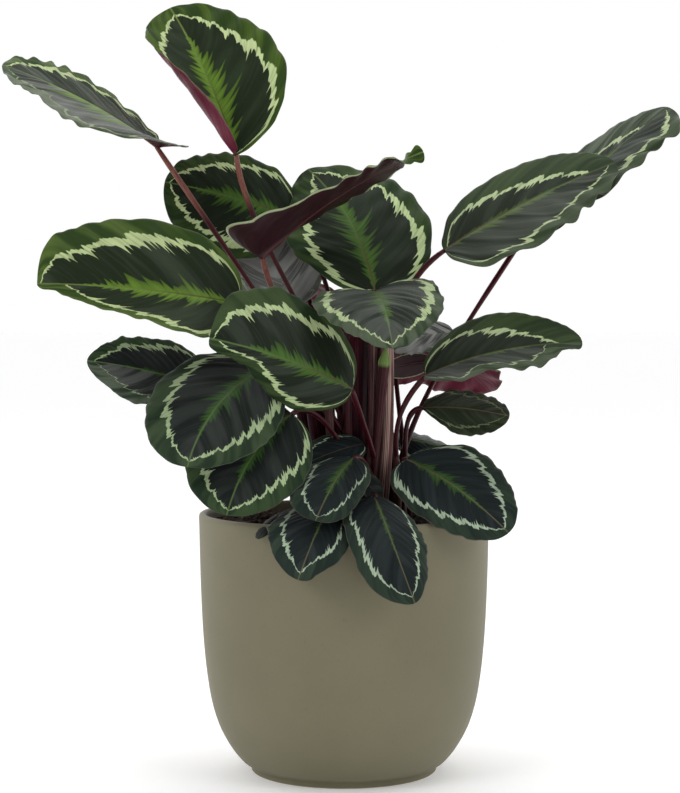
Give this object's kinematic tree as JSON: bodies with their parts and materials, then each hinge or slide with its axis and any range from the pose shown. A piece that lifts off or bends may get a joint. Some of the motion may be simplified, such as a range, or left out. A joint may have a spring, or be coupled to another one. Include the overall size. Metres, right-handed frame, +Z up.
{
  "type": "potted calathea medallion",
  "caption": "Prayer plant with broad waved dark green leaves, feathered pale rings and burgundy undersides, in a matt olive round-bottomed pot.",
  "frame": {"origin": "centre of the pot's flat base, on the surface it stands on", "axes": "+Z up out of the pot, -Y towards the front of the plant, +X to its right"},
  "size_m": [0.52, 0.2663, 0.5911],
  "materials": {
    "ceramic": "matte",
    "potting_soil": "matte",
    "blade": "satin",
    "leaf_stem": "satin"
  },
  "bodies": {
    "root": {"pot": "ceramic", "soil": "potting_soil", "leaf_01": "blade", "stem_01": "leaf_stem", "leaf_02": "blade", "stem_02": "leaf_stem", "leaf_03": "blade", "stem_03": "leaf_stem", "leaf_04": "blade", "stem_04": "leaf_stem", "leaf_05": "blade", "stem_05": "leaf_stem", "leaf_06": "blade", "stem_06": "leaf_stem", "leaf_07": "blade", "stem_07": "leaf_stem", "leaf_08": "blade", "stem_08": "leaf_stem", "leaf_09": "blade", "stem_09": "leaf_stem", "leaf_10": "blade", "stem_10": "leaf_stem", "leaf_11": "blade", "stem_11": "leaf_stem", "leaf_12": "blade", "stem_12": "leaf_stem", "leaf_13": "blade", "stem_13": "leaf_stem", "leaf_14": "blade", "stem_14": "leaf_stem", "leaf_15": "blade", "stem_15": "leaf_stem", "leaf_16": "blade", "stem_16": "leaf_stem", "leaf_17": "blade", "stem_17": "leaf_stem", "leaf_18": "blade", "stem_18": "leaf_stem", "leaf_19": "blade", "stem_19": "leaf_stem", "leaf_20": "blade", "stem_20": "leaf_stem", "leaf_21": "blade", "stem_21": "leaf_stem", "leaf_22": "blade", "stem_22": "leaf_stem", "leaf_23": "blade", "stem_23": "leaf_stem", "leaf_24": "blade", "stem_24": "leaf_stem", "leaf_25": "blade", "stem_25": "leaf_stem", "leaf_26": "blade", "stem_26": "leaf_stem", "leaf_27": "blade", "stem_27": "leaf_stem", "leaf_28": "blade", "stem_28": "leaf_stem"}
  },
  "joints": []
}
